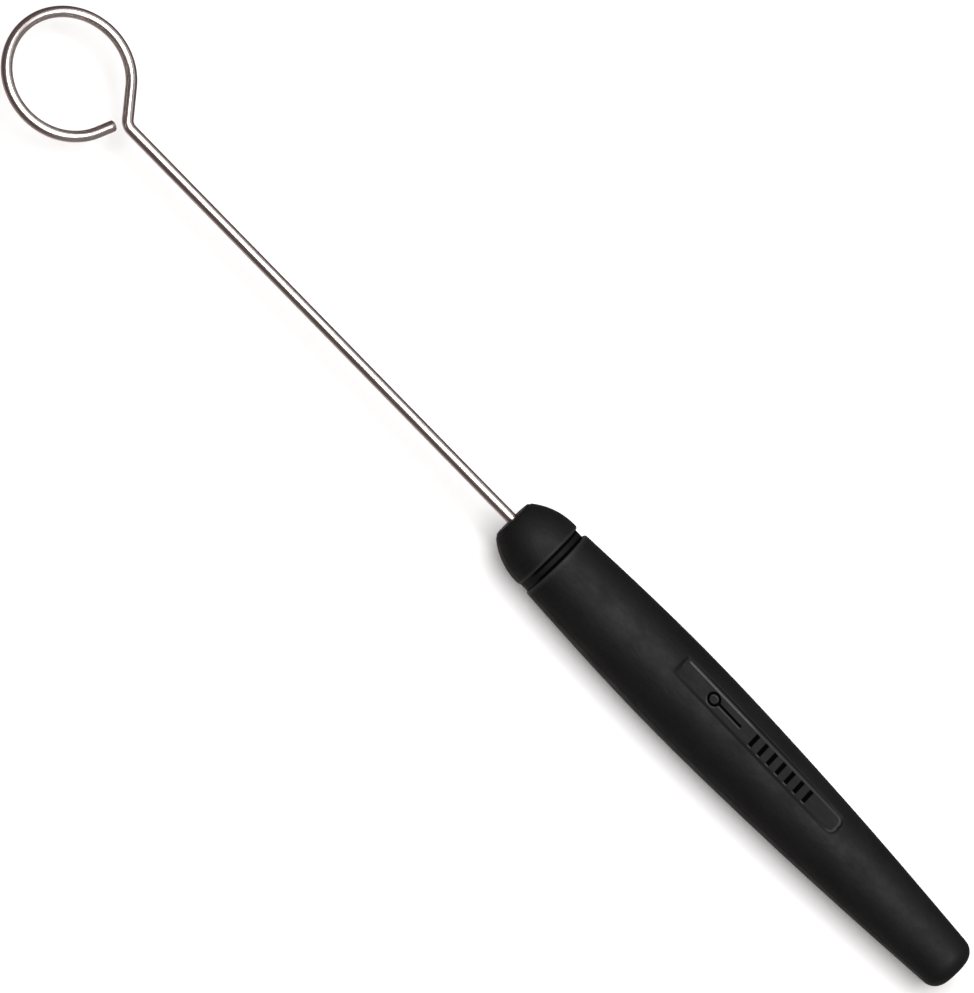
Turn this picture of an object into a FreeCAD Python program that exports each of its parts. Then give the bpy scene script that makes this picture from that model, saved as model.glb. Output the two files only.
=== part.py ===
import FreeCAD, Part
import math
import os

# Ring dipping tool: a steel wire loop on a long straight shaft, in a moulded plastic handle.
# Millimetres, +Z up, lying flat as on a table. The loop points to -X and the butt to +X.
# The handle axis, the shaft and the plane of the loop are all at z = AXIS_Z; z = 0 is the table.

Vector = FreeCAD.Vector
X_DIR = Vector(1, 0, 0)
Y_DIR = Vector(0, 1, 0)

# ---- driving dimensions ------------------------------------------------------------------
TOTAL_LENGTH = 205.0
HANDLE_LENGTH = 97.8
WIRE_D = 1.8
LOOP_R = 10.05              # to the wire's centre line
LOOP_SIDE_OFFSET = -0.9     # the loop's centre sits a little off the shaft's line
BEND_TO_LOOP = 11.9         # from the bend in the shaft to the loop's centre
BEND_R = 2.0                # of the wire's centre line where the neck leaves the shaft
FREE_END_ANGLE = 340.0      # where round the loop the free end stops being curved
FREE_END_STRAIGHT = 2.9
WIRE_END_CHAMFER = 0.15

TANG_LENGTH = 51.3          # of wire inside the handle
SWAGE_START = 35.3          # the flattened stretch of the tang, measured from the nose face
SWAGE_LENGTH = 7.0
SWAGE_WIDTH = 2.8
SWAGE_THICK = 0.95

NOSE_FACE_R = 3.5           # of the flat front face, before its edge is rounded
NOSE_FACE_ROUND = 0.3
NOSE_FLANK = (2.7, 5.28)    # (distance from the nose face, radius) halfway along the flank
NOSE_SHOULDER_R = 6.27
GROOVE_START = 7.95
GROOVE_WIDTH = 1.6
GROOVE_FLOOR_R = 5.93
GROOVE_FLOOR_DROP = 0.3     # the floor's centre is below the axis: the groove is deeper on top
LIP_ROUND = 0.33            # of the two edges that face each other across the groove
SPIGOT_R = 3.6
SPIGOT_LENGTH = 14.0
SPIGOT_FLAT = 2.9           # from the axis down to the flat that stops the nose turning

GRIP_FRONT_R = 6.36
GRIP_MAX_R = 7.24
GRIP_SIDE = ((21.8, 6.93), (35.8, GRIP_MAX_R), (57.3, 6.79), (76.3, 5.86), (91.3, 4.84))
GRIP_BUTT_R = 4.36          # where the side would meet the butt without its rounding
BUTT_ROUND = 2.6

PANEL_START = 33.7          # the recessed panel on top of the grip, from the nose face
PANEL_LENGTH = 35.0
PANEL_WIDTH = 3.75
PANEL_FLOOR_START = 6.78    # height of its floor above the axis at the front end
PANEL_FALL = 0.92           # how much lower the floor is at the rear end, following the taper
PANEL_FRONT_CORNER = 0.3
PANEL_REAR_CORNER = 1.3
PANEL_CLEAR = 4.0           # how far the cutting shape stands above the floor
MARK_DEPTH = 0.2            # of the marks sunk in the panel's floor
EMBLEM_AT = 7.4             # centre of the ring emblem, from the panel's front end
EMBLEM_R = 1.2
EMBLEM_STROKE = 0.45
DASH_LENGTH = 5.0           # from the middle of the ring's stroke
BAR_COUNT = 7
BAR_FIRST = 15.9
BAR_PITCH = 1.98
BAR_WIDTH = 0.75
BAR_LENGTH = 2.4

# ---- worked out from them ----------------------------------------------------------------
AXIS_Z = GRIP_MAX_R
WIRE_R = WIRE_D / 2
BUTT_X = TOTAL_LENGTH / 2
NOSE_X = BUTT_X - HANDLE_LENGTH
LOOP_CENTRE = Vector(-TOTAL_LENGTH / 2 + LOOP_R + WIRE_R, LOOP_SIDE_OFFSET, AXIS_Z)
GRIP_START = GROOVE_START + GROOVE_WIDTH


def on_axis(distance, radius=0.0):
    """A point of the handle's outline: distance back from the nose face, radius up from the axis."""
    return Vector(NOSE_X + distance, 0, AXIS_Z + radius)


def cylinder_x(start, length, radius, drop=0.0):
    """A cylinder along X, start measured from the nose face, its centre lowered by drop."""
    return Part.makeCylinder(radius, length, on_axis(start, -drop), X_DIR)


def box_x(start, length, width, z_low, z_high):
    """A box centred on Y, start from the nose face, heights measured from the axis."""
    corner = on_axis(start, z_low) - Y_DIR * (width / 2)
    return Part.makeBox(length, width, z_high - z_low, corner)


def turned(edges):
    """The solid that a half outline sweeps round the handle axis."""
    face = Part.Face(Part.Wire(edges))
    return face.revolve(on_axis(0), X_DIR, 360)


def line(a, b):
    return Part.LineSegment(a, b).toShape()


def arc(a, via, b):
    return Part.Arc(a, via, b).toShape()


def rounded(body, distance, radius, fillet):
    """The body with the round edge at that distance and radius filleted."""
    centre = on_axis(distance)
    edges = [
        edge for edge in body.Edges
        if isinstance(edge.Curve, Part.Circle)
        and (edge.Curve.Center - centre).Length < 1e-6
        and abs(edge.Curve.Radius - radius) < 1e-6
    ]
    return body.makeFillet(fillet, edges)


# ---- the wire ----------------------------------------------------------------------------
def around_loop(degrees):
    """A point of the loop's centre line and the direction of travel there."""
    angle = math.radians(degrees)
    radial = Vector(math.cos(angle), math.sin(angle), 0)
    travel = Vector(-math.sin(angle), math.cos(angle), 0)
    return LOOP_CENTRE + radial * LOOP_R, travel


def wire_path():
    """Tang, shaft, bend, neck tangent to the loop, the loop itself and its straight free end."""
    bend_ahead = math.sqrt(BEND_TO_LOOP**2 - LOOP_SIDE_OFFSET**2)
    bend = Vector(LOOP_CENTRE.x + bend_ahead, 0, AXIS_Z)
    to_centre = math.degrees(math.atan2(LOOP_SIDE_OFFSET, -bend_ahead)) % 360
    neck_angle = to_centre - math.degrees(math.asin(LOOP_R / BEND_TO_LOOP))
    loop_start, neck_travel = around_loop(neck_angle - 90)

    bend_turn = math.radians(180 - neck_angle)
    bend_tangent = BEND_R * math.tan(bend_turn / 2)
    before_bend = bend + X_DIR * bend_tangent
    after_bend = bend + neck_travel * bend_tangent
    bend_middle = before_bend + Y_DIR * BEND_R
    bend_middle += Vector(-math.sin(bend_turn / 2), -math.cos(bend_turn / 2), 0) * BEND_R

    loop_middle, _ = around_loop((neck_angle - 90 + FREE_END_ANGLE) / 2)
    loop_end, end_travel = around_loop(FREE_END_ANGLE)
    return Part.Wire([
        line(on_axis(TANG_LENGTH), before_bend),
        arc(before_bend, bend_middle, after_bend),
        line(after_bend, loop_start),
        arc(loop_start, loop_middle, loop_end),
        line(loop_end, loop_end + end_travel * FREE_END_STRAIGHT),
    ])


def end_circles(solid):
    """The two round edges where the wire was cut."""
    ends = [f for f in solid.Faces if isinstance(f.Surface, Part.Plane)]
    return [edge for face in ends for edge in face.Edges]


def swage():
    """The flattened stretch of the tang, which keys the wire into the plastic."""
    half = SWAGE_THICK / 2
    blade = box_x(SWAGE_START, SWAGE_LENGTH, SWAGE_WIDTH, -half, half)
    upright = [e for e in blade.Edges if abs(e.BoundBox.ZLength - SWAGE_THICK) < 1e-6]
    return blade.makeFillet(SWAGE_WIDTH / 4, upright)


def swage_waste():
    """What the press squeezes off the round wire above and below the flattened stretch."""
    half = SWAGE_THICK / 2
    above = box_x(SWAGE_START, SWAGE_LENGTH, WIRE_D, half, WIRE_D)
    below = box_x(SWAGE_START, SWAGE_LENGTH, WIRE_D, -WIRE_D, -half)
    return above.fuse(below)


def make_loop_wire():
    path = wire_path()
    section = Part.Wire(Part.makeCircle(WIRE_R, on_axis(TANG_LENGTH), X_DIR))
    rod = path.makePipeShell([section], True, True)
    expected = math.pi * WIRE_R**2 * path.Length
    if abs(rod.Volume - expected) > 0.001 * expected:
        raise ValueError("the swept wire has lost or gained volume")
    rod = rod.makeChamfer(WIRE_END_CHAMFER, end_circles(rod))
    return rod.cut(swage_waste()).fuse(swage()).removeSplitter()


# ---- the nose ----------------------------------------------------------------------------
def make_nose_cap(wire):
    """Blunt head, eccentric neck that forms the groove, and a flatted spigot into the grip."""
    face_edge = on_axis(0, NOSE_FACE_R)
    shoulder = on_axis(GROOVE_START, NOSE_SHOULDER_R)
    head = turned([
        line(on_axis(0), face_edge),
        arc(face_edge, on_axis(*NOSE_FLANK), shoulder),
        line(shoulder, on_axis(GROOVE_START)),
        line(on_axis(GROOVE_START), on_axis(0)),
    ])
    head = rounded(head, 0, NOSE_FACE_R, NOSE_FACE_ROUND)
    head = rounded(head, GROOVE_START, NOSE_SHOULDER_R, LIP_ROUND)
    neck = cylinder_x(
        GROOVE_START - LIP_ROUND, GROOVE_WIDTH + LIP_ROUND, GROOVE_FLOOR_R, GROOVE_FLOOR_DROP
    )
    spigot = cylinder_x(GRIP_START, SPIGOT_LENGTH, SPIGOT_R)
    flat = box_x(GRIP_START, SPIGOT_LENGTH, 2 * SPIGOT_R, -SPIGOT_R, -SPIGOT_FLAT)
    return head.fuse([neck, spigot.cut(flat)]).cut(wire).removeSplitter()


# ---- the grip ----------------------------------------------------------------------------
def grip_body():
    """One smooth side that swells and then tapers, rounded at the front lip and at the butt."""
    front = on_axis(GRIP_START, GRIP_FRONT_R)
    butt = on_axis(HANDLE_LENGTH, GRIP_BUTT_R)
    side = Part.BSplineCurve()
    side.interpolate([front] + [on_axis(*point) for point in GRIP_SIDE] + [butt])
    body = turned([
        line(on_axis(GRIP_START), front),
        side.toShape(),
        line(butt, on_axis(HANDLE_LENGTH)),
        line(on_axis(HANDLE_LENGTH), on_axis(GRIP_START)),
    ])
    body = rounded(body, GRIP_START, GRIP_FRONT_R, LIP_ROUND)
    return rounded(body, HANDLE_LENGTH, GRIP_BUTT_R, BUTT_ROUND)


def prism(start, length, width, z_low, z_high):
    """A block on the panel: start along it, centred across it, heights from its floor."""
    return Part.makeBox(length, width, z_high - z_low, Vector(start, -width / 2, z_low))


def panel_pocket():
    """The panel's open pocket, square at the front and well rounded at the rear."""
    pocket = prism(0, PANEL_LENGTH, PANEL_WIDTH, 0, PANEL_CLEAR)
    upright = [e for e in pocket.Edges if abs(e.BoundBox.ZLength - PANEL_CLEAR) < 1e-6]
    rear = [e for e in upright if e.BoundBox.XMin > PANEL_LENGTH / 2]
    pocket = pocket.makeFillet(PANEL_REAR_CORNER, rear)
    upright = [e for e in pocket.Edges if abs(e.BoundBox.ZLength - PANEL_CLEAR) < 1e-6]
    front = [e for e in upright if e.BoundBox.XMax < PANEL_LENGTH / 2]
    return pocket.makeFillet(PANEL_FRONT_CORNER, front)


def panel_marks():
    """Plain sunk marks: a ring with a dash, like the tool itself, and a row of equal bars."""
    centre = Vector(EMBLEM_AT, 0, -MARK_DEPTH)
    ring = Part.makeCylinder(EMBLEM_R, 2 * MARK_DEPTH, centre)
    ring = ring.cut(Part.makeCylinder(EMBLEM_R - EMBLEM_STROKE, 2 * MARK_DEPTH, centre))
    dash_from = EMBLEM_AT + EMBLEM_R - EMBLEM_STROKE / 2
    dash = prism(dash_from, DASH_LENGTH, EMBLEM_STROKE, -MARK_DEPTH, MARK_DEPTH)
    starts = [BAR_FIRST + BAR_PITCH * index for index in range(BAR_COUNT)]
    bars = [prism(at, BAR_WIDTH, BAR_LENGTH, -MARK_DEPTH, MARK_DEPTH) for at in starts]
    return ring.fuse([dash] + bars)


def placed_on_panel(shape):
    """Moves a shape from the panel's own axes to its sloping floor on top of the grip."""
    shape = shape.copy()
    shape.rotate(Vector(0, 0, 0), Y_DIR, math.degrees(math.atan2(PANEL_FALL, PANEL_LENGTH)))
    shape.translate(on_axis(PANEL_START, PANEL_FLOOR_START))
    return shape


def make_grip(nose, wire):
    body = grip_body().cut(nose).cut(wire)
    return body.cut(placed_on_panel(panel_pocket().fuse(panel_marks()))).removeSplitter()


os.makedirs("parts", exist_ok=True)
loop_wire = make_loop_wire()
nose_cap = make_nose_cap(loop_wire)
nodes = {"loop_wire": loop_wire, "nose_cap": nose_cap, "grip": make_grip(nose_cap, loop_wire)}
for name, shape in nodes.items():
    if len(shape.Solids) != 1 or not shape.isValid():
        raise ValueError(name + " is not one valid solid")
    shape.Solids[0].exportStep("parts/" + name + ".step")
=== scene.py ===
import math

import bpy
import numpy as np
from mathutils import Matrix, Vector


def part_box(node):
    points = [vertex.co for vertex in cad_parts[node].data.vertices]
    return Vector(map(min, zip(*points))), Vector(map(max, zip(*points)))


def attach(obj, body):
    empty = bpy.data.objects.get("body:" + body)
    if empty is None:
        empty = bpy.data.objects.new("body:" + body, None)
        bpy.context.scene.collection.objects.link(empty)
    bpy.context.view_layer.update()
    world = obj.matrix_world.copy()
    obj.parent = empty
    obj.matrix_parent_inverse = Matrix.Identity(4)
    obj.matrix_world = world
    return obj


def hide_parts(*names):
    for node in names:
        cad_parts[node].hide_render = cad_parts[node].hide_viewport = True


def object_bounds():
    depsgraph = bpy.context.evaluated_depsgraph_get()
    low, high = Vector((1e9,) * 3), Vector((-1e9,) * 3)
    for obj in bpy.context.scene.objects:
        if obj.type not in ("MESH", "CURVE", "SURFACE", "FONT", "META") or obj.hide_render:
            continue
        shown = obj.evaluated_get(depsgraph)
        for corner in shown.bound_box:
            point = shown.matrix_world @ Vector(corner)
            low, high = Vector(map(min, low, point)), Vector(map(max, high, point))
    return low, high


# A ring dipping tool on a white table: a bright steel wire loop on a straight shaft, in a satin
# black moulded handle. The CAD's three parts are shown as finer meshes of the same shapes.

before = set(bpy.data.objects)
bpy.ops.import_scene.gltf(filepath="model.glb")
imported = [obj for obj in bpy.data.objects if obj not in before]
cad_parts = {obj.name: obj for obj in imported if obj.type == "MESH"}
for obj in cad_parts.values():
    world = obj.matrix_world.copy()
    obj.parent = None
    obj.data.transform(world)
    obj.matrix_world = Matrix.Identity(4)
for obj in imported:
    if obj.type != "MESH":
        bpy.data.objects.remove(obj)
cad_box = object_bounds()

# ---- sizes, in millimetres ---------------------------------------------------------------
MM = 0.001
nose_low, nose_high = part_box("nose_cap")
grip_low, grip_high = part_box("grip")
wire_low, wire_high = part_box("loop_wire")

NOSE_X = nose_low.x / MM            # the handle's front face
BUTT_X = grip_high.x / MM
TANG_X = wire_high.x / MM
WIRE_R = (wire_high.z - wire_low.z) / 2 / MM
AXIS_Z = (wire_high.z + wire_low.z) / 2 / MM
HANDLE_LENGTH = BUTT_X - NOSE_X
TANG_LENGTH = TANG_X - NOSE_X

# the loop
LOOP_R = (wire_high.y - wire_low.y) / 2 / MM - WIRE_R
LOOP_X = wire_low.x / MM + LOOP_R + WIRE_R
LOOP_Y = (wire_high.y + wire_low.y) / 2 / MM
BEND_TO_LOOP = 11.9
BEND_R = 2.0
FREE_END_ANGLE = 340.0
FREE_END_STRAIGHT = 2.9
WIRE_END_CHAMFER = 0.15
SWAGE_START = 35.3                  # distances along the handle count back from the nose face
SWAGE_LENGTH = 7.0
SWAGE_WIDTH = 2.8
SWAGE_THICK = 0.95

# the handle's outline
NOSE_FACE_R = 3.5
NOSE_FACE_ROUND = 0.3
NOSE_FACE_ROUND_END = 100           # degrees from +X, where the face's rounding meets the flank
MOUTH_CHAMFER = 0.15                # at the front of the wire's bore
NOSE_FLANK = (2.7, 5.28)
NOSE_SHOULDER_R = 6.27
GROOVE_START = 7.95
GROOVE_WIDTH = 1.6
GROOVE_FLOOR_R = 5.93
GROOVE_FLOOR_DROP = 0.3
GROOVE_FLOOR_ROUND = 0.14           # between the nose's shoulder and the floor
GRIP_START = GROOVE_START + GROOVE_WIDTH
LIP_ROUND = 0.33
SPIGOT_R = 3.6
SPIGOT_FLAT = 2.9
SPIGOT_LENGTH = 14.0
SPIGOT_CHAMFER = 0.3
SPIGOT_END = GRIP_START + SPIGOT_LENGTH
BORE_R = WIRE_R + 0.03              # a hair of clearance, so the wire stands clear of its hole
SOCKET_GAP = 0.02                   # round the spigot
END_GAP = 0.1                       # past the ends of the spigot, the swage and the tang
SWAGE_GAP = 0.05
GRIP_FRONT_R = 6.36
GRIP_SIDE = ((21.8, 6.93), (35.8, 7.24), (57.3, 6.79), (76.3, 5.86), (91.3, 4.84))
GRIP_BUTT_R = 4.36
BUTT_ROUND = 2.6
GATE_R = 0.8                        # the little sunk spot where the plastic was let in
GATE_SLOPE = 0.06                   # half the width of its sloping wall
GATE_DEPTH = 0.15
SEAM_HEIGHT = 0.03                  # the fine line where the mould's halves met
SEAM_ANGLE = math.radians(1.3)

# the sunk panel on top of the grip
PANEL_START = 33.7
PANEL_LENGTH = 35.0
PANEL_WIDTH = 3.75
PANEL_FLOOR_START = 6.78
PANEL_FALL = 0.92
PANEL_FRONT_CORNER = 0.3
PANEL_REAR_CORNER = 1.3
PANEL_WALL = 0.3                    # how wide the +Y wall is, seen from above
PANEL_SOFT_WALL = 1.0               # the -Y wall and the front one are gentler
BEAD_INSET = 0.38                   # a fine bead runs just inside the wall
BEAD_HALF = 0.27
BEAD_HEIGHT = 0.06
BEAD_START = 0.5                    # it rises out of the floor here, over the next stretch
BEAD_RISE = 0.6
BEAD_NEAR_SHARE = 0.25              # how much of the bead is left on the -Y side
BEAD_REAR = 4.0                     # this far from the rear end the -Y side starts to grow whole
BEAD_REAR_RISE = 3.0
MARK_DEPTH = 0.2                    # of the bars; the narrow strokes end in a V just short of it
MARK_SLOPE = 0.8                    # of the marks' sides
MARK_CORNER = 0.05
MARK_RIM = 0.12                     # the width over which a mark's painted shade and its burr fade in
BURR_WIDTH = 0.24                   # a fine raised edge runs along the marks' -Y sides
BURR_HEIGHT = 0.04
EMBLEM_AT = 7.4
EMBLEM_R = 1.2
EMBLEM_STROKE = 0.45
DASH_LENGTH = 5.0
BAR_COUNT = 7
BAR_FIRST = 15.9
BAR_PITCH = 1.98
BAR_WIDTH = 0.75
BAR_LENGTH = 2.4

# how strong the painted highlight is, from 0 to 1: a pale colour with a glossier finish, painted on
# edges that catch the light
HIGHLIGHT_FAR = 1.0                       # the bead's +Y side, near the panel's front end
HIGHLIGHT_FAR_REST = 0.3                  # and further back
HIGHLIGHT_NEAR = 0.4                      # its -Y side, near the front end
HIGHLIGHT_NEAR_REST = 0.1
HIGHLIGHT_REAR = 0.45                     # round the rear end
HIGHLIGHT_BURR = 0.45
HIGHLIGHT_LIP = 0.3                       # the groove's edges
HIGHLIGHT_LENGTH = 13.5                   # where the bead's painted highlight starts to fade
HIGHLIGHT_FADE = 3.0
HIGHLIGHT_REAR_FROM = 1.8                 # from the rear end to where its painted highlight starts
HIGHLIGHT_REAR_RISE = 0.8

# painted shade: how black the groove is painted by its walls
GROOVE_SHADE_LOSS = 0.7                     # how much of that its middle loses
GROOVE_SHADE_WIDTH = 0.3                    # it is fully shaded this far from a wall, then fades
GROOVE_SHADE_FADE = 0.25
GROOVE_SHADE_END_Y = -4.8                   # from here to 1 mm further towards -Y the painted shade fades out

# the plastic's colours
PLASTIC_TONE = 0.0045
PLASTIC_VARIATION = 0.3             # lighter and darker patches, as a share of the tone
PAINTED_SHADE_TONE = 0.15                    # of the painted shade in the marks and the groove, as a share of the tone
# the pale colour of the painted highlight
PAINTED_HIGHLIGHT_COLOUR = (0.055, 0.055, 0.058)

# the wire's colours
STEEL_DARK = (0.72, 0.64, 0.62)
STEEL_LIGHT = (0.82, 0.75, 0.73)
# a dark brown tint at the wire's edges: painted shade that darkens them
STEEL_PAINTED_EDGE_SHADE = (0.34, 0.23, 0.21, 1)

# the room and the table
ROOM_WALLS = (0.092, 0.073, 0.069)
ROOM_END = (0.21, 0.197, 0.193)
ROOM_BELOW = (0.68, 0.64, 0.63)
TABLE_COLOUR = (0.80, 0.80, 0.80, 1)
TABLE_GLOW = (1.0, 0.96, 0.955, 1)
TABLE_HALF_SIZE = 8.0               # metres

# the camera
VIEW_AZIMUTH = -7.0
VIEW_ELEVATION = 64.2
VIEW_ROLL = 51.94                   # turns the picture so that the tool runs down to the right
VIEW_LENS = 400.0
VIEW_HEIGHT = 0.15237               # metres across the picture's long side, at the tool
AIM_UP = 0.0007                     # metres up the picture from the middle of the tool's box

# how finely the meshes are cut
WIRE_SIDES = 32
BAND_HALF = 2.6                     # half width of the strip on top whose rows run straight
BAND_STEP = 0.1
ROW_GAP = 0.03                      # rows nearer than this to the one before are left out
BAND_FULL_R = 5.5                   # where the handle is thinner the strip narrows with it
PANEL_STEP = 0.09
PANEL_MARGIN = 1.0                  # how far past the panel's ends the fine rings go on


# ---- small helpers -----------------------------------------------------------------------
def smoothstep(value):
    value = min(max(value, 0.0), 1.0)
    return value * value * (3 - 2 * value)


def steps(start, end, count):
    """count + 1 evenly spaced numbers from start to end."""
    return [start + (end - start) * i / count for i in range(count + 1)]


def circle_through(a, b, c):
    """Centre and radius of the circle through three points of a plane."""
    (ax, ay), (bx, by), (cx, cy) = a, b, c
    double_area = 2 * (ax * (by - cy) + bx * (cy - ay) + cx * (ay - by))
    sa, sb, sc = ax * ax + ay * ay, bx * bx + by * by, cx * cx + cy * cy
    x = (sa * (by - cy) + sb * (cy - ay) + sc * (ay - by)) / double_area
    y = (sa * (cx - bx) + sb * (ax - cx) + sc * (bx - ax)) / double_area
    return (x, y), math.hypot(ax - x, ay - y)


def natural_spline(points):
    """The smooth curve y(x) through the points, as a function."""
    x = np.array([p[0] for p in points])
    y = np.array([p[1] for p in points])
    h = np.diff(x)
    n = len(points)
    system = np.eye(n)
    right = np.zeros(n)
    for i in range(1, n - 1):
        system[i, i - 1 : i + 2] = h[i - 1], 2 * (h[i - 1] + h[i]), h[i]
        right[i] = 6 * ((y[i + 1] - y[i]) / h[i] - (y[i] - y[i - 1]) / h[i - 1])
    bend = np.linalg.solve(system, right)

    def value(at):
        i = int(np.clip(np.searchsorted(x, at) - 1, 0, n - 2))
        left, rest = at - x[i], x[i + 1] - at
        cubic = (bend[i] * rest**3 + bend[i + 1] * left**3) / (6 * h[i])
        line = (y[i] / h[i] - bend[i] * h[i] / 6) * rest
        line += (y[i + 1] / h[i] - bend[i + 1] * h[i] / 6) * left
        return float(cubic + line)

    return value


def skin(name, rings, material, uvs=None, through=False):
    """A closed mesh over rings of points (mm).

    It is fanned shut at both ends, or with through the last ring joins the first round a bore.
    """
    count = len(rings[0])
    verts = [Vector(p) * MM for ring in rings for p in ring]
    faces = []
    for i in range(len(rings) - 1):
        for j in range(count):
            k = (j + 1) % count
            faces.append((i * count + j, i * count + k, (i + 1) * count + k, (i + 1) * count + j))
    last = (len(rings) - 1) * count
    if through:
        around = [(j, (j + 1) % count) for j in range(count)]
        faces += [(last + j, last + k, k, j) for j, k in around]
    for base, flip in () if through else ((0, False), (last, True)):
        centre = sum((verts[base + j] for j in range(count)), Vector()) / count
        verts.append(centre)
        hub = len(verts) - 1
        for j in range(count):
            a, b = base + j, base + (j + 1) % count
            faces.append((hub, a, b) if flip else (hub, b, a))
    mesh = bpy.data.meshes.new(name)
    mesh.from_pydata(verts, [], faces)
    mesh.validate()
    mesh.polygons.foreach_set("use_smooth", [True] * len(mesh.polygons))
    piece = bpy.data.objects.new(name, mesh)
    bpy.context.scene.collection.objects.link(piece)
    mesh.materials.append(material)
    if uvs:
        write_uvs(mesh, uvs, count)
    return piece


def write_uvs(mesh, along, count):
    """One UV map: u is the distance along the piece in millimetres, v the share of the way round."""
    layer = mesh.uv_layers.new(name="along_and_round")
    rings = len(along)
    for loop in mesh.loops:
        ring, side = divmod(loop.vertex_index, count)
        if ring >= rings:
            ring, side = (0, 0) if loop.vertex_index == rings * count else (rings - 1, 0)
        layer.data[loop.index].uv = (along[ring], side / count)


def paint(piece, name, value_at):
    """A number on each vertex, from its distance along the handle and its y and z off the axis."""
    mesh = piece.data
    layer = mesh.attributes.new(name, "FLOAT", "POINT")
    for vertex in mesh.vertices:
        x, y, z = vertex.co / MM
        layer.data[vertex.index].value = value_at(x - NOSE_X, y, z - AXIS_Z)


# ---- node helpers ------------------------------------------------------------------------
def new_material(name):
    material = bpy.data.materials.new(name)
    material.use_nodes = True
    return material, material.node_tree, material.node_tree.nodes["Principled BSDF"]


def add_node(tree, kind, **values):
    """A shader node; names starting with in_ set its sockets, the others its properties."""
    node = tree.nodes.new(kind)
    for key, value in values.items():
        if key.startswith("in_"):
            node.inputs[key[3:].replace("_", " ")].default_value = value
        else:
            setattr(node, key, value)
    return node


def noise(tree, vector, scale, detail=3.0, roughness=0.5):
    node = add_node(tree, "ShaderNodeTexNoise", in_Scale=scale, in_Detail=detail)
    node.inputs["Roughness"].default_value = roughness
    tree.links.new(vector, node.inputs["Vector"])
    return node.outputs["Fac"]


def remap(tree, value, low, high, from_low=0.3, from_high=0.7):
    """A noise value stretched over the range low to high."""
    node = add_node(tree, "ShaderNodeMapRange", clamp=True)
    for socket, number in zip(("From Min", "From Max", "To Min", "To Max"),
                              (from_low, from_high, low, high)):
        node.inputs[socket].default_value = number
    tree.links.new(value, node.inputs["Value"])
    return node.outputs["Result"]


def plug(tree, value, socket):
    """Links a node output into a socket, or sets the socket to a plain number or colour."""
    if isinstance(value, bpy.types.NodeSocket):
        tree.links.new(value, socket)
    elif isinstance(value, tuple):
        socket.default_value = (*value, 1)
    else:
        socket.default_value = value


def mix_colours(tree, share, first, second):
    node = add_node(tree, "ShaderNodeMix", data_type="RGBA")
    tree.links.new(share, node.inputs["Factor"])
    plug(tree, first, node.inputs[6])
    plug(tree, second, node.inputs[7])
    return node.outputs[2]


def blend(tree, share, first, second):
    """A number between first and second; either may be a node output."""
    node = add_node(tree, "ShaderNodeMix", data_type="FLOAT")
    tree.links.new(share, node.inputs["Factor"])
    plug(tree, first, node.inputs[2])
    plug(tree, second, node.inputs[3])
    return node.outputs[0]


def bump(tree, height, strength, distance, below=None):
    node = add_node(tree, "ShaderNodeBump", in_Strength=strength, in_Distance=distance)
    tree.links.new(height, node.inputs["Height"])
    if below is not None:
        tree.links.new(below, node.inputs["Normal"])
    return node.outputs["Normal"]


def object_space(tree, stretch=(1, 1, 1)):
    """Positions in metres, stretched by a factor on each axis."""
    place = add_node(tree, "ShaderNodeTexCoord")
    mapping = add_node(tree, "ShaderNodeMapping")
    mapping.inputs["Scale"].default_value = stretch
    tree.links.new(place.outputs["Object"], mapping.inputs["Vector"])
    return mapping.outputs["Vector"]


# ---- materials ---------------------------------------------------------------------------
def black_plastic(name, tone):
    """Satin black moulding: fine spark-eroded grain and faint flow marks, with a painted highlight
    and painted shade.

    One attribute is 1 where a pale colour and a glossier finish are painted on edges as a highlight;
    the sunk one is 1 where black is painted into the marks and the groove as shade. Metallic takes
    the gloss off those painted-shade places, which then reflect next to nothing.
    """
    material, tree, shader = new_material(name)
    grain = noise(tree, object_space(tree), 5200, 2.0)
    flow = noise(tree, object_space(tree, (0.6, 1, 1)), 420, 4.0, 0.6)
    wear = noise(tree, object_space(tree, (0.5, 1, 1)), 70, 3.0)
    # painted highlight: a pale colour and low roughness on edges that catch the light
    glossy_painted_highlight = add_node(tree, "ShaderNodeAttribute", attribute_name="glossy_painted_highlight").outputs["Fac"]
    # painted shade: black, very rough and metallic at the bottom of the marks and by the groove's
    # walls
    sunk = add_node(tree, "ShaderNodeAttribute", attribute_name="sunk").outputs["Fac"]
    darker, lighter = tone * (1 - PLASTIC_VARIATION), tone * (1 + PLASTIC_VARIATION)
    plain = mix_colours(tree, remap(tree, wear, 0, 1), (darker,) * 3, (lighter,) * 3)
    painted_shade = mix_colours(tree, sunk, plain, (tone * PAINTED_SHADE_TONE,) * 3)
    pale = mix_colours(tree, glossy_painted_highlight, painted_shade, PAINTED_HIGHLIGHT_COLOUR)
    tree.links.new(pale, shader.inputs["Base Color"])
    rough = blend(tree, sunk, remap(tree, flow, 0.54, 0.72), 0.95)
    tree.links.new(blend(tree, glossy_painted_highlight, rough, 0.22), shader.inputs["Roughness"])
    tree.links.new(remap(tree, sunk, 0, 0.85, 0, 1), shader.inputs["Metallic"])
    shader.inputs["IOR"].default_value = 1.5
    shader.inputs["Specular IOR Level"].default_value = 0.21
    soft = bump(tree, flow, 0.6, 0.0002)
    tree.links.new(bump(tree, grain, 0.5, 0.00004, soft), shader.inputs["Normal"])
    return material


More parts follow.
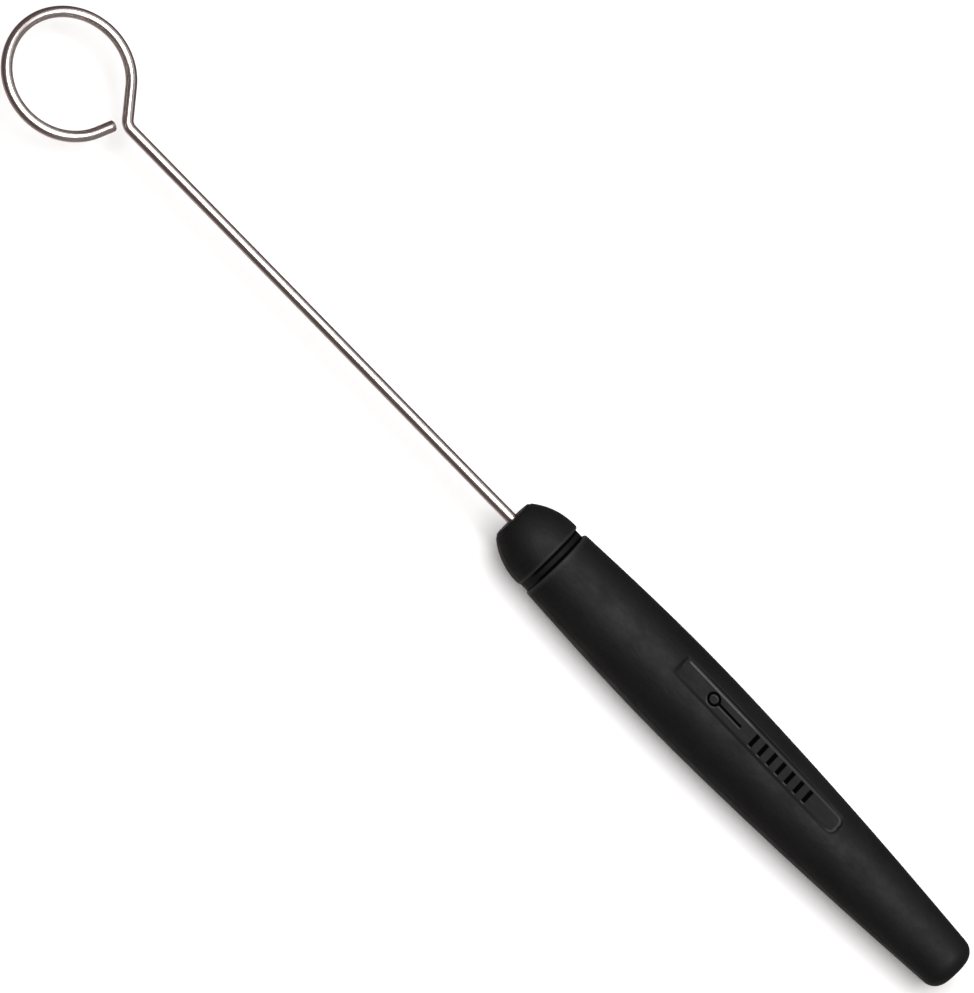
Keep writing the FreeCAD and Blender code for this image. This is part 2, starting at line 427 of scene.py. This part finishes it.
def drawn_steel():
    """Bright stainless wire with fine drawing lines along it, its edges tinted dark brown as painted
    shade.
    """
    material, tree, shader = new_material("drawn_steel")
    uv = add_node(tree, "ShaderNodeUVMap", uv_map="along_and_round")
    lines = add_node(tree, "ShaderNodeMapping")
    lines.inputs["Scale"].default_value = (0.06, 26, 1)
    tree.links.new(uv.outputs["UV"], lines.inputs["Vector"])
    streaks = noise(tree, lines.outputs["Vector"], 1.0, 3.0, 0.6)
    patches = noise(tree, object_space(tree), 260, 3.0)
    colour = mix_colours(tree, remap(tree, patches, 0, 1), STEEL_DARK, STEEL_LIGHT)
    tree.links.new(colour, shader.inputs["Base Color"])
    shader.inputs["Metallic"].default_value = 1.0
    # painted shade: the dark brown tint darkens the wire's edges
    shader.inputs["Specular Tint"].default_value = STEEL_PAINTED_EDGE_SHADE
    tree.links.new(remap(tree, streaks, 0.18, 0.30), shader.inputs["Roughness"])
    tree.links.new(bump(tree, streaks, 0.10, 0.00002), shader.inputs["Normal"])
    return material


def white_table():
    """A pale sweep, a little self-lit so that only the deepest shadow shows on it."""
    material, tree, shader = new_material("white_table")
    shader.inputs["Base Color"].default_value = TABLE_COLOUR
    shader.inputs["Roughness"].default_value = 0.9
    shader.inputs["Specular IOR Level"].default_value = 0.0
    shader.inputs["Emission Color"].default_value = TABLE_GLOW
    shader.inputs["Emission Strength"].default_value = 0.17
    return material


# ---- the wire ----------------------------------------------------------------------------
def loop_layout():
    """The bend's place, the neck's direction and where the loop's arc starts, in degrees."""
    ahead = math.sqrt(BEND_TO_LOOP**2 - LOOP_Y**2)
    to_centre = math.degrees(math.atan2(LOOP_Y, -ahead)) % 360
    neck = to_centre - math.degrees(math.asin(LOOP_R / BEND_TO_LOOP))
    return LOOP_X + ahead, neck, neck - 90


def wire_stations():
    """Points (x, y), direction and distance along the wire's centre line, from tang to free end."""
    bend_x, neck, loop_start = loop_layout()
    turn = math.radians(180 - neck)
    cut = BEND_R * math.tan(turn / 2)
    stations = []

    def add(x, y, heading):
        along = 0.0
        if stations:
            last = stations[-1]
            along = last[3] + math.hypot(x - last[0], y - last[1])
        stations.append((x, y, heading, along))

    swage = NOSE_X + SWAGE_START
    for x in [TANG_X] + steps(swage + SWAGE_LENGTH, swage, 14) + steps(swage - 2, bend_x + cut, 40):
        add(x, 0.0, math.pi)
    for angle in steps(0, turn, 10)[1:]:
        add(bend_x + cut - BEND_R * math.sin(angle), BEND_R * (1 - math.cos(angle)), math.pi - angle)
    neck_way = math.radians(neck)
    start = math.radians(loop_start)
    end_of_neck = (LOOP_X + LOOP_R * math.cos(start), LOOP_Y + LOOP_R * math.sin(start))
    first = stations[-1]
    for share in steps(0, 1, 5)[1:]:
        add(first[0] + (end_of_neck[0] - first[0]) * share,
            first[1] + (end_of_neck[1] - first[1]) * share, neck_way)
    for degrees in steps(loop_start, FREE_END_ANGLE, 120)[1:]:
        angle = math.radians(degrees)
        add(LOOP_X + LOOP_R * math.cos(angle), LOOP_Y + LOOP_R * math.sin(angle),
            angle + math.pi / 2)
    x, y, heading, _ = stations[-1]
    for run in steps(0, FREE_END_STRAIGHT, 4)[1:]:
        add(x + run * math.cos(heading), y + run * math.sin(heading), heading)
    return stations


def wire_section(station, shrink=0.0):
    """The ring of points round one station: round, but flat and wide where the tang is swaged."""
    x, y, heading, _ = station
    into = (x - NOSE_X - SWAGE_START) / SWAGE_LENGTH
    steepness = 8                       # the flat comes and goes over an eighth of its length
    flatness = smoothstep(into * steepness) * smoothstep((1 - into) * steepness)
    wide = WIRE_R - shrink + flatness * (SWAGE_WIDTH / 2 - WIRE_R)
    thick = WIRE_R - shrink + flatness * (SWAGE_THICK / 2 - WIRE_R)
    squareness = 1 - 0.55 * flatness    # under 1 the section bulges into its corners
    points = []
    for side in range(WIRE_SIDES):
        angle = 2 * math.pi * side / WIRE_SIDES
        across = math.copysign(abs(math.cos(angle)) ** squareness, math.cos(angle)) * wide
        up = math.copysign(abs(math.sin(angle)) ** squareness, math.sin(angle)) * thick
        points.append((x - math.sin(heading) * across, y + math.cos(heading) * across, AXIS_Z + up))
    return points


def pushed(station, distance):
    x, y, heading, along = station
    return (x + distance * math.cos(heading), y + distance * math.sin(heading), heading,
            along + distance)


def make_wire(material):
    stations = wire_stations()
    chamfer = WIRE_END_CHAMFER
    first, last = stations[0], stations[-1]
    face = 0.35                         # a smaller ring that keeps each end face flat
    tang_end = [(first, face), (first, chamfer), (pushed(first, chamfer), 0.0)]
    body = [(s, 0.0) for s in stations[1:-1]]
    free_end = [(pushed(last, -chamfer), 0.0), (last, chamfer), (last, face)]
    whole = tang_end + body + free_end
    rings = [wire_section(station, shrink) for station, shrink in whole]
    return skin("wire_loop", rings, material, [station[3] for station, _ in whole])


# ---- the handle --------------------------------------------------------------------------
grip_radius = natural_spline(
    [(GRIP_START, GRIP_FRONT_R), *GRIP_SIDE, (HANDLE_LENGTH, GRIP_BUTT_R)]
)


def round_angles(radius):
    """Angles from straight up, all the way round, at one radius of the handle.

    The strip on top has rows that run straight along the handle, where the panel is; the mould
    seams at both sides have a row of their own and one close by on either side.
    """
    share = min(1.0, radius / BAND_FULL_R)
    rows = steps(-BAND_HALF, BAND_HALF, round(2 * BAND_HALF / BAND_STEP))
    edge = PANEL_WIDTH / 2
    for side in (-1, 1):
        rows += [side * (edge + PANEL_WALL * step) for step in (-0.5, -0.2, 0.2, 0.5)]
        rows += [side * (edge - BEAD_INSET + BEAD_HALF * step) for step in (-0.6, -0.2, 0.2, 0.6)]
    rows.sort()
    spaced = [y for before, y in zip([-math.inf] + rows, rows) if y - before > ROW_GAP]
    strip = [math.asin(y * share / radius) for y in spaced]
    quarter = math.pi / 2
    seam = [quarter - SEAM_ANGLE, quarter, quarter + SEAM_ANGLE]
    right = steps(strip[-1], seam[0], 13)[1:-1] + seam
    under = steps(seam[-1], 2 * math.pi - seam[-1], 44)[1:-1]
    left = [2 * math.pi - angle for angle in reversed(right)]
    return strip + right + under + left


def ring_at(distance, radius, shape=None, seam=False):
    """One ring of the handle; shape(angle, radius) may change the radius round the ring.

    It runs backwards round the axis, so that the faces of rings laid towards +X look outward.
    """
    points = []
    for angle in reversed(round_angles(max(radius, 0.05))):
        r = shape(angle, radius) if shape else radius
        if seam and abs(abs(math.sin(angle)) - 1) < 1e-9:
            r += SEAM_HEIGHT
        points.append((NOSE_X + distance, r * math.sin(angle), AXIS_Z + r * math.cos(angle)))
    return points


def groove_floor(angle, radius):
    """The groove's floor is a circle whose centre is a little below the axis."""
    drop = GROOVE_FLOOR_DROP
    reach = math.sqrt(GROOVE_FLOOR_R**2 - (drop * math.sin(angle)) ** 2)
    return min(radius, reach - drop * math.cos(angle))


def flatted(angle, radius):
    """The spigot and its socket are round with a flat underneath."""
    below = -math.cos(angle)
    return min(radius, SPIGOT_FLAT / below) if below > 0.3 else radius


def rounding(centre, radius, start, end, count):
    """Points (distance, radius) on an arc about centre, angles in degrees from the +X way."""
    cx, cy = centre
    angles = [math.radians(a) for a in steps(start, end, count)]
    return [(cx + radius * math.cos(a), cy + radius * math.sin(a)) for a in angles]


def nose_profile():
    """The nose's outside from the edge of its front face to the groove."""
    face_r = NOSE_FACE_R - NOSE_FACE_ROUND
    front = rounding((NOSE_FACE_ROUND, face_r), NOSE_FACE_ROUND, 180, NOSE_FACE_ROUND_END, 5)
    shoulder = (GROOVE_START, NOSE_SHOULDER_R)
    (cx, cy), r = circle_through((0, NOSE_FACE_R), NOSE_FLANK, shoulder)
    start = math.degrees(math.atan2(front[-1][1] - cy, front[-1][0] - cx))
    round_centre = (GROOVE_START - LIP_ROUND, NOSE_SHOULDER_R - LIP_ROUND)
    end = math.degrees(math.atan2(round_centre[1] - cy, round_centre[0] - cx))
    flank = rounding((cx, cy), r, start, end, 26)[1:-1]
    lip = rounding(round_centre, LIP_ROUND, end, 0, 8)
    return front, flank, lip


def make_nose(material):
    front, flank, lip = nose_profile()
    face_middle_r = 2.2                 # a ring part way out keeps the front face flat
    rings = [ring_at(SPIGOT_END, BORE_R), ring_at(MOUTH_CHAMFER, BORE_R)]
    rings += [ring_at(0.0, r) for r in (BORE_R + MOUTH_CHAMFER, face_middle_r)]
    rings += [ring_at(d, r) for d, r in front]
    rings += [ring_at(d, r, seam=True) for d, r in flank]
    rings += [ring_at(d, r, seam=True) for d, r in lip[:-2]]
    rings += [ring_at(d, r) for d, r in lip[-2:]]
    for angle in steps(0, math.pi / 2, 4):
        inset = GROOVE_FLOOR_ROUND * (1 - math.sin(angle))
        at = GROOVE_START + GROOVE_FLOOR_ROUND * (1 - math.cos(angle))
        rings.append(ring_at(
            at, NOSE_SHOULDER_R, lambda a, r, inset=inset: groove_floor(a, r) + inset))
    for at in steps(GROOVE_START + 2 * GROOVE_FLOOR_ROUND, GRIP_START - 0.02, 10):
        rings.append(ring_at(at, NOSE_SHOULDER_R, groove_floor))
    rings += [ring_at(GRIP_START, 5.6), ring_at(GRIP_START, SPIGOT_R + 0.1)]
    straight_end = SPIGOT_END - SPIGOT_CHAMFER
    rings += [ring_at(d, SPIGOT_R, flatted) for d in steps(GRIP_START, straight_end, 6)]
    rings += [ring_at(SPIGOT_END, SPIGOT_R - SPIGOT_CHAMFER, flatted)]
    return skin("nose", rings, material, through=True)


def box_distance(x, y, low_x, high_x, half_y, front_corner, rear_corner):
    """Signed distance to a rounded box on the panel: below 0 inside it."""
    centre = (low_x + high_x) / 2
    corner = rear_corner if x > centre else front_corner
    dx = abs(x - centre) - (high_x - low_x) / 2 + corner
    dy = abs(y) - half_y + corner
    outside = math.hypot(max(dx, 0), max(dy, 0))
    return outside + min(max(dx, dy), 0) - corner


def mark_distance(x, y):
    """Signed distance to the nearest mark: the ring with its dash, or one of the bars."""
    ring = abs(math.hypot(x - EMBLEM_AT, y) - EMBLEM_R + EMBLEM_STROKE / 2) - EMBLEM_STROKE / 2
    dash_from = EMBLEM_AT + EMBLEM_R - EMBLEM_STROKE / 2
    dash = box_distance(x, y, dash_from, dash_from + DASH_LENGTH, EMBLEM_STROKE / 2,
                        MARK_CORNER, MARK_CORNER)
    index = min(max(round((x - BAR_FIRST - BAR_WIDTH / 2) / BAR_PITCH), 0), BAR_COUNT - 1)
    start = BAR_FIRST + BAR_PITCH * index
    bar = box_distance(x, y, start, start + BAR_WIDTH, BAR_LENGTH / 2, MARK_CORNER, MARK_CORNER)
    return min(ring, dash, bar)


def panel_gap(x, y):
    """Signed distance to the panel's outline, below 0 inside it; x runs from its front end."""
    return box_distance(x, y, 0, PANEL_LENGTH, PANEL_WIDTH / 2,
                        PANEL_FRONT_CORNER, PANEL_REAR_CORNER)


def bead_share(x, y):
    """1 on top of the fine bead inside the panel's wall: faint at -Y, and none at the front."""
    share = smoothstep(1 - abs(panel_gap(x, y) + BEAD_INSET) / BEAD_HALF)
    if y < 0:
        rear = smoothstep((x - PANEL_LENGTH + BEAD_REAR) / BEAD_REAR_RISE)
        share *= BEAD_NEAR_SHARE + (1 - BEAD_NEAR_SHARE) * rear
    return share * smoothstep((x - BEAD_START) / BEAD_RISE)


def burr_share(x, y):
    """1 on the fine raised edge along the marks' -Y sides."""
    beside = smoothstep(0.5 - mark_distance(x, y + BURR_WIDTH) / MARK_RIM)
    return beside * smoothstep(0.5 + mark_distance(x, y) / MARK_RIM)


def panel_height(distance, y, surface):
    """The height above the axis on top of the grip, where the panel and its marks are sunk."""
    x = distance - PANEL_START
    gap = panel_gap(x, y)
    front_run = 0.6                     # the +Y wall turns into the soft front one over this length
    softness = smoothstep((PANEL_WALL - x) / front_run) if y > 0 else 1.0
    wall = PANEL_WALL + (PANEL_SOFT_WALL - PANEL_WALL) * softness
    if gap > wall:
        return surface
    floor = PANEL_FLOOR_START - PANEL_FALL * x / PANEL_LENGTH
    floor += BEAD_HEIGHT * bead_share(x, y) + BURR_HEIGHT * burr_share(x, y)
    floor -= min(MARK_SLOPE * max(-mark_distance(x, y), 0.0), MARK_DEPTH)
    share = smoothstep(0.5 + gap / wall)
    return floor + (surface - floor) * share


def painted_highlight_share(distance, y, z):
    """Where a pale highlight is painted on the bead and the burrs beside the marks.

    The bead's painted highlight is brightest on the first stretch of its +Y side, then at the rear.
    """
    x = distance - PANEL_START
    if z < 0 or abs(y) > BAND_HALF or panel_gap(x, y) > 0:
        return lip_highlight_share(distance - GRIP_START)
    front, rest = (HIGHLIGHT_FAR, HIGHLIGHT_FAR_REST) if y > 0 else (HIGHLIGHT_NEAR, HIGHLIGHT_NEAR_REST)
    strength = front - (front - rest) * smoothstep((x - HIGHLIGHT_LENGTH) / HIGHLIGHT_FADE)
    rear = smoothstep((x - PANEL_LENGTH + HIGHLIGHT_REAR_FROM) / HIGHLIGHT_REAR_RISE)
    strength = max(strength, HIGHLIGHT_REAR * rear)
    return max(strength * bead_share(x, y), HIGHLIGHT_BURR * burr_share(x, y))


def lip_highlight_share(inset):
    """How strong the painted highlight on the groove's edge is, from the distance to its wall."""
    return HIGHLIGHT_LIP * smoothstep(1 - abs(inset - LIP_ROUND / 2) / LIP_ROUND)


def shoulder_painted_highlight(distance, y, z):
    """Where a pale highlight is painted on the nose: the edge in front of the groove."""
    return lip_highlight_share(GROOVE_START - distance)


def groove_painted_shade(distance, y, z):
    """1 by the groove's two walls, where shade is painted black; less between them and at -Y."""
    if not GROOVE_START <= distance <= GRIP_START:
        return 0.0
    from_wall = min(distance - GROOVE_START, GRIP_START - distance)
    painted_shade = 1.0 - GROOVE_SHADE_LOSS * smoothstep((from_wall - GROOVE_SHADE_WIDTH) / GROOVE_SHADE_FADE)
    return painted_shade * (1 - smoothstep(GROOVE_SHADE_END_Y - y))


def marks_painted_shade(distance, y, z):
    """1 at the bottom of the marks, where shade is painted black."""
    if z < 0 or abs(y) > BAND_HALF:
        return 0.0
    return smoothstep(0.5 - mark_distance(distance - PANEL_START, y) / MARK_RIM)


def with_panel(points, distance):
    """The ring's points lowered into the panel where it crosses the strip on top."""
    lowered = []
    for x, y, z in points:
        if abs(y) < BAND_HALF and z > AXIS_Z:
            z = AXIS_Z + panel_height(distance, y, z - AXIS_Z)
        lowered.append((x, y, z))
    return lowered


def make_grip(material):
    key_front, key_rear = SWAGE_START - END_GAP, SWAGE_START + SWAGE_LENGTH + END_GAP
    key_r = SWAGE_WIDTH / 2 + SWAGE_GAP
    hollow = [(TANG_LENGTH + END_GAP, BORE_R), (key_rear, BORE_R), (key_rear, key_r),
              (key_front, key_r), (key_front, BORE_R), (SPIGOT_END + END_GAP, BORE_R)]
    rings = [ring_at(d, r) for d, r in hollow]
    rings += [ring_at(SPIGOT_END + END_GAP, SPIGOT_R - 0.2, flatted)]
    socket = steps(SPIGOT_END, GRIP_START, 6)
    rings += [ring_at(d, SPIGOT_R + SOCKET_GAP, flatted) for d in socket]
    rings += [ring_at(GRIP_START, 5.0)]
    lip_centre = (GRIP_START + LIP_ROUND, GRIP_FRONT_R - LIP_ROUND)
    rings += [ring_at(d, r) for d, r in rounding(lip_centre, LIP_ROUND, 180, 90, 7)]
    front_edge, rear_edge = PANEL_START - PANEL_MARGIN, PANEL_START + PANEL_LENGTH + PANEL_MARGIN
    before = steps(GRIP_START + LIP_ROUND + 0.6, front_edge, 22)
    over = steps(front_edge, rear_edge, round((rear_edge - front_edge) / PANEL_STEP))[1:]
    round_from = HANDLE_LENGTH - BUTT_ROUND
    round_from_r = grip_radius(round_from)
    slope = math.degrees(math.atan(grip_radius(round_from - 1) - round_from_r))
    after = steps(rear_edge, round_from, 26)[1:-1]
    for d in before + over + after:
        rings.append(with_panel(ring_at(d, grip_radius(d), seam=True), d))
    butt_centre = (round_from, round_from_r - BUTT_ROUND)
    rings += [ring_at(d, r) for d, r in rounding(butt_centre, BUTT_ROUND, 90 - slope, 0, 18)]
    rings += [ring_at(HANDLE_LENGTH, r) for r in (1.3, GATE_R + GATE_SLOPE)]
    rings += [ring_at(HANDLE_LENGTH - GATE_DEPTH, r) for r in (GATE_R - GATE_SLOPE, 0.3)]
    return skin("grip_body", rings, material)


# ---- stage, light and camera -------------------------------------------------------------
def make_table():
    size = TABLE_HALF_SIZE
    mesh = bpy.data.meshes.new("table")
    corners = [(-size, -size, 0), (size, -size, 0), (size, size, 0), (-size, size, 0)]
    mesh.from_pydata(corners, [], [(0, 1, 2, 3)])
    mesh.materials.append(white_table())
    table = bpy.data.objects.new("table", mesh)
    bpy.context.scene.collection.objects.link(table)
    table.visible_glossy = False        # keeps its glare out of the wire's and the handle's edges


def area_light(name, target, offset, size, power):
    """A soft box at target + offset, facing target."""
    light = bpy.data.lights.new(name, "AREA")
    light.shape = "RECTANGLE"
    light.size, light.size_y = size
    light.energy = power
    lamp = bpy.data.objects.new(name, light)
    lamp.location = target + Vector(offset)
    lamp.rotation_mode = "QUATERNION"
    lamp.rotation_quaternion = (-Vector(offset)).to_track_quat("-Z", "Y")
    lamp.visible_camera = False
    bpy.context.scene.collection.objects.link(lamp)


def make_lights(target):
    """A dark warm room, paler at the +X end, a large soft box above and a weak one at +Y.

    The table is hidden from reflections, so light from straight below stands in for its glow.
    """
    world = bpy.data.worlds.new("studio")
    world.use_nodes = True
    tree = world.node_tree
    way = add_node(tree, "ShaderNodeTexCoord").outputs["Generated"]
    parts = add_node(tree, "ShaderNodeSeparateXYZ")
    tree.links.new(way, parts.inputs["Vector"])
    towards_end = remap(tree, parts.outputs["X"], 0, 1, 0.45, 0.85)
    below = remap(tree, parts.outputs["Z"], 1, 0, -0.9, -0.5)
    walls = mix_colours(tree, towards_end, ROOM_WALLS, ROOM_END)
    glow = mix_colours(tree, below, walls, ROOM_BELOW)
    tree.links.new(glow, tree.nodes["Background"].inputs["Color"])
    bpy.context.scene.world = world
    area_light("top_softbox", target, (0.0, -0.10, 1.15), (1.25, 1.1), 23)
    area_light("far_softbox", target, (0.1, 0.9, 0.8), (1.0, 0.5), 0.8)


def make_camera(target):
    azimuth, elevation = math.radians(VIEW_AZIMUTH), math.radians(VIEW_ELEVATION)
    back = Vector((math.sin(azimuth) * math.cos(elevation),
                   -math.cos(azimuth) * math.cos(elevation), math.sin(elevation)))
    level_right = Vector((math.cos(azimuth), math.sin(azimuth), 0))
    level_up = back.cross(level_right)
    roll = math.radians(VIEW_ROLL)
    right = level_right * math.cos(roll) + level_up * math.sin(roll)
    up = level_up * math.cos(roll) - level_right * math.sin(roll)
    data = bpy.data.cameras.new("camera")
    data.lens = VIEW_LENS
    data.clip_end = 50
    camera = bpy.data.objects.new("camera", data)
    bpy.context.scene.collection.objects.link(camera)
    distance = VIEW_HEIGHT * VIEW_LENS / data.sensor_width
    place = target + up * AIM_UP + back * distance
    turn = Matrix((right, up, back)).transposed().to_4x4()
    camera.matrix_world = Matrix.Translation(place) @ turn
    bpy.context.scene.camera = camera


# ---- build -------------------------------------------------------------------------------
def place_piece(piece, node):
    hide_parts(node)
    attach(piece, "root")


def main():
    middle = (cad_box[0] + cad_box[1]) / 2
    make_camera(middle)
    make_lights(middle)
    make_table()
    place_piece(make_wire(drawn_steel()), "loop_wire")
    nose = make_nose(black_plastic("nose_plastic", PLASTIC_TONE))
    # painted highlight on the nose's edge, painted shade in the groove
    paint(nose, "glossy_painted_highlight", shoulder_painted_highlight)
    paint(nose, "sunk", groove_painted_shade)
    place_piece(nose, "nose_cap")
    grip = make_grip(black_plastic("grip_plastic", PLASTIC_TONE))
    # painted highlight on the panel's bead, the burrs and the groove's edge; painted shade in the
    # marks
    paint(grip, "glossy_painted_highlight", painted_highlight_share)
    paint(grip, "sunk", marks_painted_shade)
    place_piece(grip, "grip")
    bpy.context.scene.view_settings.view_transform = "Standard"


main()
